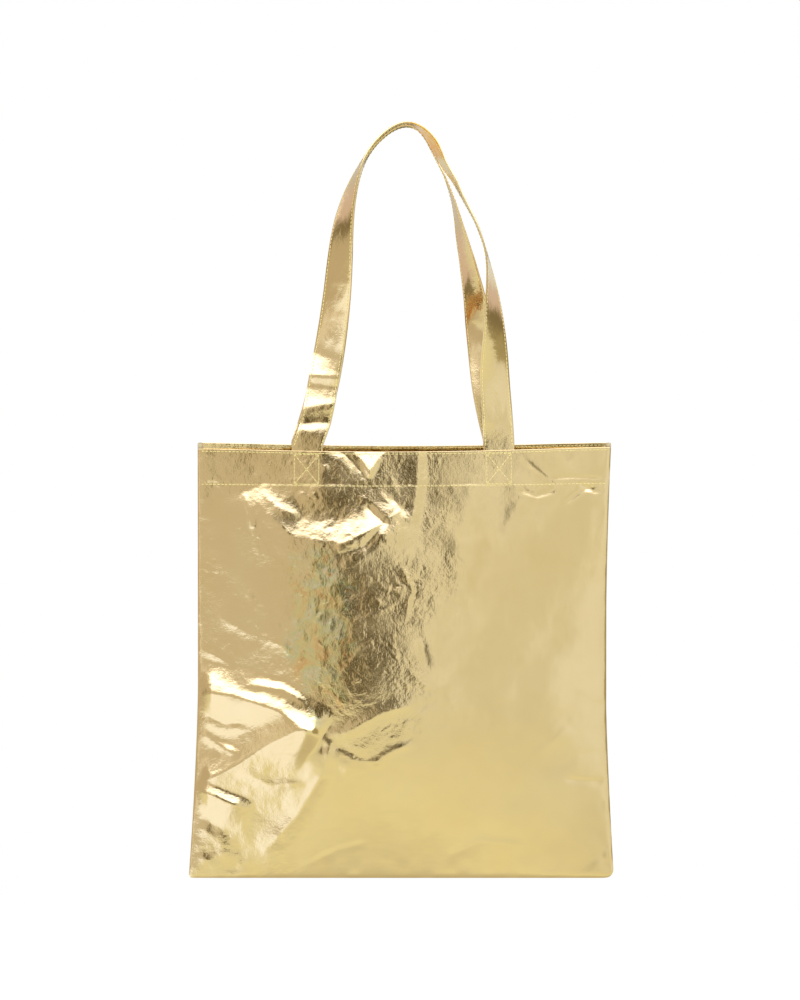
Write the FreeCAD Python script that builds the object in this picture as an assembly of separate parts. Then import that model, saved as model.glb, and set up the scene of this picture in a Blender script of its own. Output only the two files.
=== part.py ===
"""A flat carrier bag of gold-laminated non-woven fabric with two long handles, as it hangs from them.

Frame: millimetres, +X to the bag's right as seen from the front, +Y to the back, +Z up. The origin is the
middle of the bottom seam. Two walls are sewn together along both sides and the bottom, with the seam
allowances turned inside. Each wall's top edge is folded inside as a hem, and each handle is one folded strap
whose two ends lie on the hem's inner face, held by a sewn box with a cross. Every row of stitches is a ribbon
of thread that passes through all the layers it holds.
"""
import FreeCAD, Part
import os
from math import cos, pi, radians, sin

V = FreeCAD.Vector

# Driving dimensions
bag_width = 380.0  # flat width along the bottom seam
front_height = 388.0  # bottom seam to the front hem's folded edge
back_rise = 4.0  # the back hem is folded this much higher than the front one
fabric = 0.5  # one layer of laminated fabric
layer_gap = 0.1  # air between two layers that lie on each other
hem_depth = 36.0
strap_width = 28.0
strap_thickness = 1.4  # four layers, folded and sewn
strap_offset = 86.3  # strap end's centre to the bag's middle

# How the empty bag hangs: its walls stand apart, and its sides draw in
belly = 22.0  # how far each wall stands out at its fullest, past the straight line from seam to mouth
belly_drop = 0.35  # how far the fullest point sits below mid-height: 0 is the middle
mouth_half_gap = 8.0
waist = 7.0  # how far each side draws in at its narrowest
waist_height = 0.65  # where that is, as a share of the height

# Seams
seam_allowance = 10.0
seam_clearance = 0.35  # between a wall and the seam allowances it opens away from
seam_half = fabric + layer_gap / 2 + seam_clearance  # a wall's inner face to the middle, at the seams
facing_margin = 11.5  # the hem's inner layer ends here, beside the seam allowance
corner_gap = 2.0  # the bottom seam's allowance ends this far from a side seam's

# Stitches, with the hem's rows measured down from the folded edge
thread_width = 0.7
thread_proud = 0.2  # how far a stitch stands out of the cloth
edge_inset = 2.0  # a strap's rows of stitches to its edges
top_row_drop = 2.0
hem_row_drop = 32.3
box_top_drop = 3.2
box_bottom_drop = 31.0

# Handles: the free strap starts just above the folded edge, where it folds over on its hinge line
strap_start = 1.2
strap_end_top = 0.4  # the sewn end reaches this far above the folded edge

# Each handle's route over a peg, from its left sewn end to its right one: centre x, distance in front of or
# behind the middle, height above the folded edge, and how far the strap has turned about the upright, in
# degrees: 0 and 180 are flat to the wall, and 90 is edge-on from the front.
front_route = [
    (-75.3, 6.5, 42, 4),
    (-65, 8.5, 95, 18),
    (-58, 11, 149, 31),
    (-53.5, 13.2, 198, 50),
    (-45, 14.5, 235, 66),
    (-32.5, 14.5, 262, 80),
    (-15.5, 14.5, 281.5, 84),
    (3.5, 14.5, 289.5, 80),
    (18.5, 14.5, 281.5, 74),
    (33, 14.5, 259, 76),
    (49, 14.5, 230, 86),
    (65, 14.5, 204, 90),
    (76, 14.5, 171, 94),
    (80, 14.3, 137, 115),
    (82, 12, 100, 138),
    (82.5, 8.7, 61, 163),
    (84.5, 6.6, 32, 177),
]
back_route = [
    (-74.5, 6.5, 39, 4),
    (-64.3, 8.5, 91, 18),
    (-57, 11, 145, 32),
    (-52, 13.2, 194, 52),
    (-43.5, 14.5, 230, 68),
    (-31.5, 14.5, 256, 81),
    (-15.5, 14.5, 275.5, 86),
    (3, 14.5, 284, 86),
    (17.5, 14.5, 276, 82),
    (30, 14.5, 254, 86),
    (42, 14.5, 221, 93),
    (50, 14.5, 188, 108),
    (58.5, 14, 153, 124),
    (66.5, 12.5, 116, 142),
    (72.5, 10, 76, 160),
    (78, 7, 38, 174),
]

SIDES = {"front": -1, "back": 1}
ROUTES = {"front": front_route, "back": back_route}
ROWS_UP, COLUMNS = 14, 16  # spans of a wall's surface
LINE_SPANS = 8  # spans of a seam, and of half that for a straight run of stitches


def half_width(z):
    """Half the bag's width at a height: full at the bottom seam, drawn in towards the waist."""
    return bag_width / 2 - waist * (1 - (1 - z / front_height / waist_height) ** 2)


def wall_distance(x, z):
    """From the bag's middle plane to a wall's inner face."""
    share_up = z / front_height
    skewed = share_up * (1 + belly_drop * (1 - share_up))
    depth = mouth_half_gap * share_up + belly * sin(pi * skewed)
    return seam_half + depth * (1 - (x / half_width(z)) ** 2)


def wall_top(side_name):
    return front_height + (back_rise if side_name == "back" else 0.0)


def wall_face(side, low, high, inset, span):
    """A face that follows a wall between two heights, inset from its inner face. span(z) gives its x limits."""
    rows = []
    for i in range(ROWS_UP + 1):
        z = low + (high - low) * i / ROWS_UP
        left, right = span(z)
        xs = [left + (right - left) * j / COLUMNS for j in range(COLUMNS + 1)]
        rows.append([V(x, side * (wall_distance(x, z) - inset), z) for x in xs])
    surface = Part.BSplineSurface()
    surface.interpolate(rows)
    return surface.toShape()


def spline_edge(points):
    curve = Part.BSplineCurve()
    curve.interpolate(points)
    return curve.toShape()


def thickened(face, side, thickness):
    """The face moved straight out (or in, if negative) through the cloth's thickness, as a solid."""
    return face.extrude(V(0, side * thickness, 0))


def whole_width(margin):
    return lambda z: (margin - half_width(z), half_width(z) - margin)


def strap_span(centre):
    return lambda z: (centre - strap_width / 2, centre + strap_width / 2)


def wall_panel(side_name):
    """The wall's outer layer, from the bottom seam to the hem's folded edge."""
    side = SIDES[side_name]
    return thickened(wall_face(side, 0, wall_top(side_name), 0, whole_width(0)), side, fabric)


def hem_facing(side_name):
    """The hem's inner layer: the same cloth, folded down inside the mouth."""
    side, top = SIDES[side_name], wall_top(side_name)
    face = wall_face(side, top - hem_depth, top, layer_gap, whole_width(facing_margin))
    return thickened(face, side, -fabric)


def strap_end(side_name, centre):
    """The end of a handle, flat on the hem's inner face."""
    side, top = SIDES[side_name], wall_top(side_name)
    face = wall_face(side, top - hem_depth, top + strap_end_top, 2 * layer_gap + fabric, strap_span(centre))
    return thickened(face, side, -strap_thickness)


def hem_row(side_name, drop):
    """A row of stitches along a hem, through the panel and the hem's inner layer."""
    side, middle = SIDES[side_name], wall_top(side_name) - drop
    low, high = middle - thread_width / 2, middle + thread_width / 2
    layers = layer_gap + fabric
    face = wall_face(side, low, high, layers + thread_proud, whole_width(facing_margin + thread_width))
    return thickened(face, side, layers + fabric + 2 * thread_proud)


def stitched_line(side, start, end, layers):
    """A ribbon of thread along a straight line on a wall, through layers of cloth that lie inside it."""
    origin, along = V(start[0], 0, start[1]), V(end[0] - start[0], 0, end[1] - start[1])
    across = V(-along.z, 0, along.x).normalize() * (thread_width / 2)
    spans = LINE_SPANS // 2
    edges = []
    for sign in (-1, 1):
        flat = [origin + along * (i / spans) + across * sign for i in range(spans + 1)]
        reach = layers + thread_proud
        edges.append(spline_edge([V(p.x, side * (wall_distance(p.x, p.z) - reach), p.z) for p in flat]))
    return thickened(Part.makeRuledSurface(*edges), side, layers + fabric + 2 * thread_proud)


def crossed_box(side_name, centre):
    """The box with a cross that sews a strap end down, as separate runs of stitches that don't overlap."""
    side, top = SIDES[side_name], wall_top(side_name)
    layers = 2 * layer_gap + fabric + strap_thickness
    half = strap_width / 2 - edge_inset
    low, high = top - box_bottom_drop, top - box_top_drop
    left, right, middle = centre - half, centre + half, (low + high) / 2
    w = thread_width  # a run stops this far short of one that it would cross
    lines = [((x, low), (x, high)) for x in (left, right)]
    lines += [((left + w, z), (right - w, z)) for z in (low, high)]
    x_in, z_in = 2 * w, 2 * w * (high - low) / (right - left)
    lines.append(((left + x_in, low + z_in), (right - x_in, high - z_in)))
    for x, z, sign in ((left + x_in, high - z_in, -1), (right - x_in, low + z_in, 1)):
        lines.append(((x, z), (centre + sign * x_in / 2, middle - sign * z_in / 2)))
    return Part.makeCompound([stitched_line(side, a, b, layers) for a, b in lines])


def strap_frames(side_name):
    """Parameter, centre, width direction and outward normal of the strap at each point of its route."""
    side, top = SIDES[side_name], wall_top(side_name)
    on_hem = wall_distance(strap_offset, top) - 2 * layer_gap - fabric - strap_thickness / 2
    start = (-strap_offset, on_hem, strap_start, 0)
    end = (strap_offset, on_hem, strap_start, 180)
    route = [start] + ROUTES[side_name] + [end]
    centres = [V(x, side * y, top + rise) for x, y, rise, _ in route]
    curve = Part.BSplineCurve()
    curve.interpolate(centres)
    frames = []
    for centre, (_, _, _, turn) in zip(centres, route):
        parameter = curve.parameter(centre)
        tangent = curve.tangent(parameter)[0]
        width = V(cos(radians(turn)), side * sin(radians(turn)), 0)
        normal = (width.cross(tangent) * -side).normalize()
        frames.append((parameter, centre, width, normal))
    return frames


def swept(frames, offset, width_size, thickness):
    """A band of rectangular section that follows the strap's frames, offset along the strap's width."""
    parameters = [frame[0] for frame in frames]
    edges = []
    for across, out in ((-1, -1), (1, -1), (1, 1), (-1, 1)):
        points = []
        for _, centre, width, normal in frames:
            sideways = width * (offset + across * width_size / 2)
            points.append(centre + sideways + normal * (out * thickness / 2))
        curve = Part.BSplineCurve()
        curve.interpolate(Points=points, Parameters=parameters)
        edges.append(curve.toShape())
    faces = [Part.makeRuledSurface(edges[i], edges[(i + 1) % 4]) for i in range(4)]
    for end in (0, -1):
        corners = [edge.Vertexes[end].Point for edge in edges]
        faces.append(Part.Face(Part.makePolygon(corners + corners[:1])))
    shell = Part.Shell(faces)
    shell.sewShape()
    return Part.Solid(shell)


def seam_layers(face):
    """One layer of cloth on each side of a face in the bag's middle plane."""
    layers = []
    for side in SIDES.values():
        layer = face.copy()
        layer.translate(V(0, side * layer_gap / 2, 0))
        layers.append(thickened(layer, side, fabric))
    return Part.makeCompound(layers)


def seam_stitches(face):
    """Thread through both layers of a seam."""
    depth = fabric + layer_gap / 2 + thread_proud / 2
    face.translate(V(0, -depth, 0))
    return thickened(face, 1, 2 * depth)


def side_band(side_x, low, outer, inner):
    """A face in the middle plane along one side, between two distances from the side seam."""
    heights = [low + (front_height - low) * i / LINE_SPANS for i in range(LINE_SPANS + 1)]
    edges = [spline_edge([V(side_x * (half_width(z) - d), 0, z) for z in heights]) for d in (outer, inner)]
    return Part.makeRuledSurface(*edges)


def bottom_band(low, high, margin):
    """A face in the middle plane along the bottom, between two heights."""
    half = bag_width / 2 - seam_allowance - margin
    edges = [spline_edge([V(-half, 0, z), V(half, 0, z)]) for z in (low, high)]
    return Part.makeRuledSurface(*edges)


def seam_nodes():
    """The allowances turned inside at both sides and the bottom, and the row of stitches through each."""
    row = seam_allowance / 2
    low, high = row - thread_width / 2, row + thread_width / 2
    nodes = {
        "bottom_seam": seam_layers(bottom_band(0, seam_allowance, corner_gap)),
        "bottom_seam_thread": seam_stitches(bottom_band(low, high, corner_gap + thread_width)),
    }
    for name, side_x in (("left", -1), ("right", 1)):
        nodes[f"{name}_side_seam"] = seam_layers(side_band(side_x, 0, 0, seam_allowance))
        nodes[f"{name}_seam_thread"] = seam_stitches(side_band(side_x, row, low, high))
    return nodes


def wall_nodes(name):
    """One wall: its outer layer, its hem, the sewn ends of its handle and all their stitches."""
    nodes = {
        f"{name}_panel": wall_panel(name),
        f"{name}_hem_facing": hem_facing(name),
        f"{name}_top_row_thread": hem_row(name, top_row_drop),
        f"{name}_hem_row_thread": hem_row(name, hem_row_drop),
    }
    for end, centre in (("left", -strap_offset), ("right", strap_offset)):
        nodes[f"{name}_{end}_strap_end"] = strap_end(name, centre)
        nodes[f"{name}_{end}_cross_thread"] = crossed_box(name, centre)
    return nodes


def handle_nodes(name):
    """One handle: its free strap, and the row of stitches along each edge."""
    frames = strap_frames(name)
    row = strap_width / 2 - edge_inset
    through = strap_thickness + 2 * thread_proud
    return {
        f"{name}_handle_strap": swept(frames, 0, strap_width, strap_thickness),
        f"{name}_handle_left_edge_thread": swept(frames, -row, thread_width, through),
        f"{name}_handle_right_edge_thread": swept(frames, row, thread_width, through),
    }


def forward(solid):
    """The solid with its faces turned outward."""
    if solid.Volume < 0:
        solid.reverse()
    return solid


def main():
    nodes = seam_nodes()
    for name in SIDES:
        nodes.update(wall_nodes(name))
        nodes.update(handle_nodes(name))
    os.makedirs("parts", exist_ok=True)
    for name, shape in nodes.items():
        solids = [forward(s) for s in shape.Solids]
        whole = solids[0] if len(solids) == 1 else Part.makeCompound(solids)
        good = whole.isValid() and all(s.isClosed() for s in solids)
        print(f"{name}: {len(solids)} solid(s), {whole.Volume:.1f} mm3, {'ok' if good else 'BAD'}")
        whole.exportStep(f"parts/{name}.step")


main()
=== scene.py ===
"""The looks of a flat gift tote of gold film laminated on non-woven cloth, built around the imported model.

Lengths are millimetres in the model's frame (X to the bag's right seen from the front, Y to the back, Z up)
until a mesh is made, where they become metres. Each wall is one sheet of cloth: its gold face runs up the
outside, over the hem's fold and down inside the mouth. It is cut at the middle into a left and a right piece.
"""
from math import cos, pi, radians, sin

import bpy
import numpy as np
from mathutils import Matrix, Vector
from mathutils.geometry import delaunay_2d_cdt


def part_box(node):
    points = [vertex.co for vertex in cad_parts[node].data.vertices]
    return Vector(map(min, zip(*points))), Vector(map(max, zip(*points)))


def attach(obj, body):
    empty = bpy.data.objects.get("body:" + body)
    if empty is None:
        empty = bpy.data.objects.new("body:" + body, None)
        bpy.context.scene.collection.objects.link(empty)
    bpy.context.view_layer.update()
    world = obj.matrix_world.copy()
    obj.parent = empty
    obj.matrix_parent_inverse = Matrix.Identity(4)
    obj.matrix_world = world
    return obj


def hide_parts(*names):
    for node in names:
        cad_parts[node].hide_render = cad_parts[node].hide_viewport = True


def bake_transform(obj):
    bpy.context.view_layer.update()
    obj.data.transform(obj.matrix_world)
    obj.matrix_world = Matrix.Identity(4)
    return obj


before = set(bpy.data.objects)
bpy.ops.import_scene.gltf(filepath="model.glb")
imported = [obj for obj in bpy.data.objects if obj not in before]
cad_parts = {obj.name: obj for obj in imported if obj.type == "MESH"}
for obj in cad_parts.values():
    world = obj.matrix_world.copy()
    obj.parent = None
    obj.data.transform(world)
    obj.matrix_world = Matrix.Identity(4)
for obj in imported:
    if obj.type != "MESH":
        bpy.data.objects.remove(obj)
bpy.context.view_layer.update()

MM = 0.001
SIDES = {"front": -1, "back": 1}
ENDS = {"left": -1, "right": 1}


def cad_box_mm(node):
    """Lowest and highest corner of a CAD node, in millimetres."""
    low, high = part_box(node)
    return np.array(low) / MM, np.array(high) / MM


# Sizes that follow from the frame
TOP = {name: cad_box_mm(f"{name}_panel")[1][2] for name in SIDES}
FRONT_HEIGHT = TOP["front"]
STRAP_LOW, STRAP_HIGH = cad_box_mm("front_right_strap_end")
STRAP_WIDTH = STRAP_HIGH[0] - STRAP_LOW[0]
STRAP_OFFSET = (STRAP_HIGH[0] + STRAP_LOW[0]) / 2
HEM_DEPTH = FRONT_HEIGHT - STRAP_LOW[2]

# Cloth, hem and stitches
CLOTH = 0.45  # thickness of one layer
FOLD_GAP = 0.6  # between the middles of the hem's two layers
SEAM_OPENING = 0.28  # from the middle plane to the middle of the cloth, at a seam
SEAM_ROUND = 0.95  # how far the cloth stands out beside a seam, round the allowances inside
SEAM_ROUND_LENGTH = 1.6
PUCKER, PUCKER_SIZE, PUCKER_REACH = 0.35, 11, 12.0  # small waves of the cloth beside a seam
FACING_SHRINK = 4.5  # the hem's inner layer ends this far inside the side seam
STRAP_THICKNESS = 1.3
THREAD = 0.7
STITCH_PITCH = 3.5
STITCH_LENGTH = 2.9
STITCH_GAP = 0.4  # at least this between two stitches
STITCH_FLATNESS = 0.75
BOX_INSET = 3.0
EDGE_INSET = 2.0  # a strap's rows of stitches to its edges
STITCH_LINE = 1 - 2 * EDGE_INSET / STRAP_WIDTH  # the rows' distance from its middle, in half widths
ROW_INSET = 3  # the hem's rows end this far inside the side seam
INNER_ROW_INSET = 4  # and this far inside the inner layer's end
TOP_ROW_DROP = 2.0
HEM_ROW_DROP = 32.3
HEM_FADE = (34, 30)  # the hem is flatter than the wall; the change is spread between these drops
BOX_TOP_DROP = 3.0
BOX_BOTTOM_DROP = 31.0
SEAM_ALLOWANCE = 10.0
ALLOWANCE_START = 1.5  # from the bag's edge
SEAM_LAYER = 0.27  # from the middle plane to the middle of one allowance
ALLOWANCE_THICKNESS = 0.4
SEAM_STITCH_OUT = 0.49  # from the middle plane to a seam's stitches
SIDE_SEAM_LOW, SIDE_SEAM_TOP_DROP = 2.2, 6.0
BOTTOM_SEAM_REACH = 176.0  # from the middle
LAYER_GAP = 0.1  # between the hem's inner layer and a strap's sewn end

# The empty bag's outline: half widths, and how they grow towards the bottom and, at the right, the top
LEFT_HALF, LEFT_FLARE = 184.2, 8.6
RIGHT_HALF, RIGHT_FLARE, RIGHT_TOP_FLARE = 183.0, 7.1, 4.0
LEFT_CORNER, RIGHT_CORNER = 3.0, 8.0  # radii of the bottom corners

# The empty bag's form
MOUTH_HALF_GAP = 8.0
BELLY = 22.0
BELLY_DROP = 0.35
SAG = {"front": (3.2, 1.4), "back": (3.0, 0.0)}  # of the folded edge, in the middle and at the left
SAG_REACH = 186.0  # the half width it is spread over
SAG_DEPTH = 70.0  # and how far down the wall it fades out

# Grids
COLUMNS = 250
PANEL_ROWS = 236
HEM_ROWS = 40
FOLD_ROWS = 6
FACING_ROWS = 26
RELIEF_STEP = 0.8
STRAP_ROWS = 380
STRAP_COLUMNS = 22

# ------ relief


def lattice(ix, iz, seed):
    """A number from -1 to 1 for each whole-number cell, the same every run."""
    h = (ix.astype(np.int64) * 374761393 + iz.astype(np.int64) * 668265263 + seed * 982451653) & 0x7FFFFFFF
    h = ((h ^ (h >> 13)) * 1274126177) & 0x7FFFFFFF
    return ((h ^ (h >> 16)) & 0xFFFFFF) / float(0x7FFFFF) - 1.0


def noise(x, z, cell, seed):
    """Smooth noise from -1 to 1 with features about a cell across."""
    fx, fz = x / cell, z / cell
    ix, iz = np.floor(fx), np.floor(fz)
    tx, tz = fx - ix, fz - iz
    tx, tz = (t * t * t * (t * (t * 6 - 15) + 10) for t in (tx, tz))
    a, b = lattice(ix, iz, seed), lattice(ix + 1, iz, seed)
    c, d = lattice(ix, iz + 1, seed), lattice(ix + 1, iz + 1, seed)
    return (a * (1 - tx) + b * tx) * (1 - tz) + (c * (1 - tx) + d * tx) * tz


def unit(vectors):
    return vectors / np.linalg.norm(vectors, axis=-1, keepdims=True)


def smoothstep(low, high, value):
    t = np.clip((value - low) / (high - low), 0, 1)
    return t * t * (3 - 2 * t)


class Relief:
    """How far one wall's cloth stands out of its smooth form, on a square grid of points."""

    X_LOW, X_HIGH, Z_LOW, Z_HIGH = -200.0, 200.0, -6.0, 400.0
    MIDDLE_Z, REACH, SCATTER = 190.0, 300.0, 0.42

    def __init__(self, name):
        self.step, self.top = RELIEF_STEP, TOP[name]
        self.xs = np.arange(self.X_LOW, self.X_HIGH + self.step, self.step)
        self.zs = np.arange(self.Z_LOW, self.Z_HIGH + self.step, self.step)
        self.x, self.z = np.meshgrid(self.xs, self.zs, indexing="ij")
        self.height = np.zeros_like(self.x)
        self.in_hem = smoothstep(self.top - HEM_FADE[0], self.top - HEM_FADE[1], self.z)

    def facets(self, size, amount, seed, mask=1.0, stretch=1.0, turn=0.0, around=None):
        """Flat facets with sharp creases between them: scattered points at random heights, in triangles."""
        rng = np.random.default_rng(seed)
        ca, sa = cos(radians(turn)), sin(radians(turn))
        margin = size * 2
        reach = self.REACH + margin
        us = np.arange(-reach, reach, size * stretch)
        vs = np.arange(-reach, reach, size)
        u, v = (g.ravel() for g in np.meshgrid(us, vs, indexing="ij"))
        u = u + rng.uniform(-self.SCATTER, self.SCATTER, u.shape) * size * stretch
        v = v + rng.uniform(-self.SCATTER, self.SCATTER, v.shape) * size
        px, pz = u * ca - v * sa, u * sa + v * ca + self.MIDDLE_Z
        x_low, x_high, z_low, z_high = around or (self.X_LOW, self.X_HIGH, self.Z_LOW, self.Z_HIGH)
        near = (px > x_low - margin) & (px < x_high + margin)
        near &= (pz > z_low - margin) & (pz < z_high + margin)
        px, pz = px[near], pz[near]
        heights = rng.uniform(-1, 1, px.shape) * amount
        points, _, faces = delaunay_2d_cdt([Vector(p) for p in zip(px, pz)], [], [], 0, 1e-4)[:3]
        px, pz = (np.array([p[i] for p in points]) for i in (0, 1))
        layer = np.zeros_like(self.height)
        for a, b, c in faces:
            self._triangle(layer, (px[a], px[b], px[c]), (pz[a], pz[b], pz[c]), heights[[a, b, c]])
        self.height += layer * mask

    def _span(self, values, grid):
        """The first index of the grid that the values reach, and the one past the last."""
        first, last = (int((v - grid[0]) / self.step) for v in (min(values), max(values)))
        return max(first, 0), min(last + 2, len(grid))

    def _triangle(self, layer, tx, tz, th):
        """Fills one triangle of a layer with the heights between its corners."""
        (i0, i1), (j0, j1) = self._span(tx, self.xs), self._span(tz, self.zs)
        if i0 >= i1 or j0 >= j1:
            return
        x, z = self.x[i0:i1, j0:j1], self.z[i0:i1, j0:j1]
        dx, dz = x - tx[2], z - tz[2]
        det = (tz[1] - tz[2]) * (tx[0] - tx[2]) + (tx[2] - tx[1]) * (tz[0] - tz[2])
        if abs(det) < 1e-9:
            return
        w0 = ((tz[1] - tz[2]) * dx + (tx[2] - tx[1]) * dz) / det
        w1 = ((tz[2] - tz[0]) * dx + (tx[0] - tx[2]) * dz) / det
        w2 = 1 - w0 - w1
        inside = (w0 >= -1e-6) & (w1 >= -1e-6) & (w2 >= -1e-6)
        values = w0 * th[0] + w1 * th[1] + w2 * th[2]
        layer[i0:i1, j0:j1][inside] = values[inside]

    def crease(self, points, height, left, right, taper=0.5, over=1.0, power=1.8):
        """A fold along a line of points: a sharp ridge or valley that falls off over a width on each side."""
        best = np.full_like(self.height, 1e9)
        signed = np.zeros_like(self.height)
        along = np.zeros_like(self.height)
        lengths = [np.hypot(b[0] - a[0], b[1] - a[1]) for a, b in zip(points, points[1:])]
        total, done = sum(lengths), 0.0
        for (a, b), length in zip(zip(points, points[1:]), lengths):
            dx, dz = (b[0] - a[0]) / length, (b[1] - a[1]) / length
            px, pz = self.x - a[0], self.z - a[1]
            t = np.clip(px * dx + pz * dz, 0, length)
            ox, oz = px - t * dx, pz - t * dz
            dist = np.hypot(ox, oz)
            closer = dist < best
            best = np.where(closer, dist, best)
            signed = np.where(closer, np.sign(dx * pz - dz * px) * dist, signed)
            along = np.where(closer, (done + t) / total, along)
            done += length
        width = np.where(signed > 0, left, right)
        profile = np.clip(1 - best / width, 0, 1) ** power
        ends = np.clip(np.minimum(along, 1 - along) / (taper / 2), 0, 1)
        self.height += height * profile * (ends * (2 - ends)) * over

    def facet(self, corners, slope_x, slope_z, soft=1.0, lift=0.0):
        """A flat facet inside a convex outline (corners anticlockwise), tilted about its middle."""
        inside = np.full_like(self.height, 1e9)
        for a, b in zip(corners, corners[1:] + corners[:1]):
            length = np.hypot(b[0] - a[0], b[1] - a[1])
            d = ((b[0] - a[0]) * (self.z - a[1]) - (b[1] - a[1]) * (self.x - a[0])) / length
            inside = np.minimum(inside, d)
        cx, cz = np.mean(corners, axis=0)
        mask = smoothstep(-soft, soft, inside)
        self.height += mask * (lift + slope_x * (self.x - cx) + slope_z * (self.z - cz))

    def settle(self, radius):
        """Softens the relief as stiff cloth does, and pulls in a groove at the hem's lower stitches."""
        n = max(int(round(3 * radius / self.step)), 1)
        k = np.exp(-0.5 * (np.arange(-n, n + 1) * self.step / radius) ** 2)
        k /= k.sum()
        for axis in (0, 1):
            padded = np.pad(self.height, [(n, n) if a == axis else (0, 0) for a in (0, 1)], mode="edge")
            span = self.height.shape[axis]
            self.height = sum(w * np.take(padded, range(i, i + span), axis=axis) for i, w in enumerate(k))
        self.height -= 0.12 * np.exp(-(((self.z - (self.top - HEM_ROW_DROP)) / 1.2) ** 2))

    def at(self, x, z):
        """The relief at any points, through a smooth curve."""
        fx = np.clip((x - self.X_LOW) / self.step, 1.001, len(self.xs) - 3.001)
        fz = np.clip((z - self.Z_LOW) / self.step, 1.001, len(self.zs) - 3.001)
        ix, iz = fx.astype(int), fz.astype(int)
        tx, tz = fx - ix, fz - iz
        spread = [(i, j, a * b) for i, a in enumerate(weights(tx)) for j, b in enumerate(weights(tz))]
        return sum(w * self.height[ix + i - 1, iz + j - 1] for i, j, w in spread)


def weights(t):
    """A cubic B-spline's weights, which leave no kinks in what is reflected."""
    u = 1 - t
    return u**3 / 6, (3 * t**3 - 6 * t**2 + 4) / 6, (3 * u**3 - 6 * u**2 + 4) / 6, t**3 / 6


def hem_bend(x, z):
    """The handle's sewn end stiffens the hem, which bends at its edge and faces straight ahead beside it."""
    at = [-184, -130, -101, STRAP_WIDTH / 2 - STRAP_OFFSET, 14, 60]
    out = [0, -0.3, 0.6, 1.8, 0.1, 0]
    return np.interp(x, at, out) * smoothstep(318, 352, z)


# Patches of fine crumple in front: x, z, half length, half width, turn in degrees, facet size and height
GLINTS = [
    (-165, 356, 20, 8, 105, 5.0, 0.24),
    (-134, 318, 34, 4, 106, 4.0, 0.50),
    (-132, 366, 16, 4, 125, 4.0, 0.22),
    (-85, 342, 11, 5, 0, 3.6, 0.16),
    (-150, 252, 26, 13, -40, 5.0, 0.16),
    (-168, 190, 18, 8, -20, 5.0, 0.15),
    (-130, 228, 30, 12, -35, 5.0, 0.17),
    (-72, 318, 62, 22, 0, 5.0, 0.16),
    (-60, 240, 34, 60, 0, 5.0, 0.17),
    (10, 262, 20, 70, 0, 5.0, 0.10),
    (-28, 335, 20, 44, 0, 5.0, 0.10),
    (30, 152, 50, 26, 0, 5.0, 0.10),
    (-20, 118, 40, 10, 15, 4.5, 0.10),
    (-160, 110, 34, 44, 0, 6.0, 0.12),
    (-168, 44, 26, 40, 0, 6.0, 0.07),
    (-118, 84, 34, 24, 20, 6.0, 0.18),
    (95, 290, 80, 60, 0, 11.0, 0.11),
    (110, 170, 75, 70, 0, 10.0, 0.13),
    (40, 60, 130, 40, 0, 13.0, 0.08),
]


# Small creases: height, width at the left of the line and at its right, then the line's points (x, z)
FRONT_CREASES = [
    # Round the swag under the hem
    (0.6, 16, 5, (-142, 349), (-135, 316), (-126, 282)),
    (-1.3, 8, 8, (-34, 338), (-24, 326), (-14, 318)),
    (-0.9, 9, 10, (-60, 290), (-34, 300), (-12, 326)),
    (0.5, 2.5, 4, (-95, 344), (-90, 347), (-86, 343), (-80, 346), (-76, 342)),
    (0.5, 4, 6, (-140, 262), (-132, 246), (-118, 240)),
    (0.7, 5, 8, (-186, 206), (-168, 202), (-150, 190)),
    (0.55, 6, 10, (-168, 240), (-140, 222), (-112, 214), (-96, 200)),
    # In the hem between the straps
    (-0.6, 6, 8, (-68, 386), (-52, 383), (-33, 362)),
    (0.3, 4, 7, (-26, 350), (-8, 336), (-2, 300)),
    (0.3, 3, 5, (-34, 312), (-8, 326), (6, 350)),
    # Round the long fold across the lower left
    (1.2, 8, 10, (-140, 176), (-108, 172), (-84, 158)),
    (-0.4, 9, 10, (-150, 66), (-124, 58), (-96, 62)),
    (1.4, 8, 10, (-186, 132), (-160, 118), (-146, 112)),
    (-1.2, 8, 8, (-180, 150), (-160, 140), (-138, 142)),
    (-0.3, 10, 10, (-172, 30), (-150, 24), (-128, 30)),
    (0.2, 8, 9, (-186, 24), (-174, 12), (-160, 6)),
    (0.4, 3, 6, (-60, 118), (-40, 108), (-14, 106)),
    (0.5, 5, 7, (-30, 104), (-10, 116), (10, 124)),
    # Beside the middle
    (-0.35, 8, 8, (17, 218), (19, 205), (22, 190)),
    (0.2, 4, 5, (-56, 250), (-36, 234), (-12, 246), (6, 262)),
    (0.22, 3, 4, (-62, 176), (-40, 206), (-20, 222)),
    (0.45, 3, 5, (-2, 284), (8, 262), (2, 232)),
    (0.4, 5, 7, (4, 190), (20, 176), (40, 172)),
    # Faint marks at the right
    (-0.7, 3, 4, (104, 351), (120, 345), (138, 350)),
    (-1.0, 4, 5, (158, 356), (172, 349), (187, 350)),
    (-0.6, 3, 4, (130, 360), (150, 362), (186, 360)),
    (-0.6, 3, 4, (144, 337), (160, 349), (187, 358)),
    (-0.4, 3, 4, (107, 379), (122, 366), (139, 352)),
    (0.35, 8, 14, (118, 112), (134, 123), (150, 138)),
    (-0.6, 4, 6, (146, 90), (168, 88), (186, 88)),
    (-0.12, 10, 12, (60, 340), (74, 318), (76, 300)),
    (0.4, 8, 14, (40, 20), (70, 34), (110, 30)),
    (0.3, 5, 9, (-92, 10), (-60, 26), (-30, 34)),
]
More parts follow.
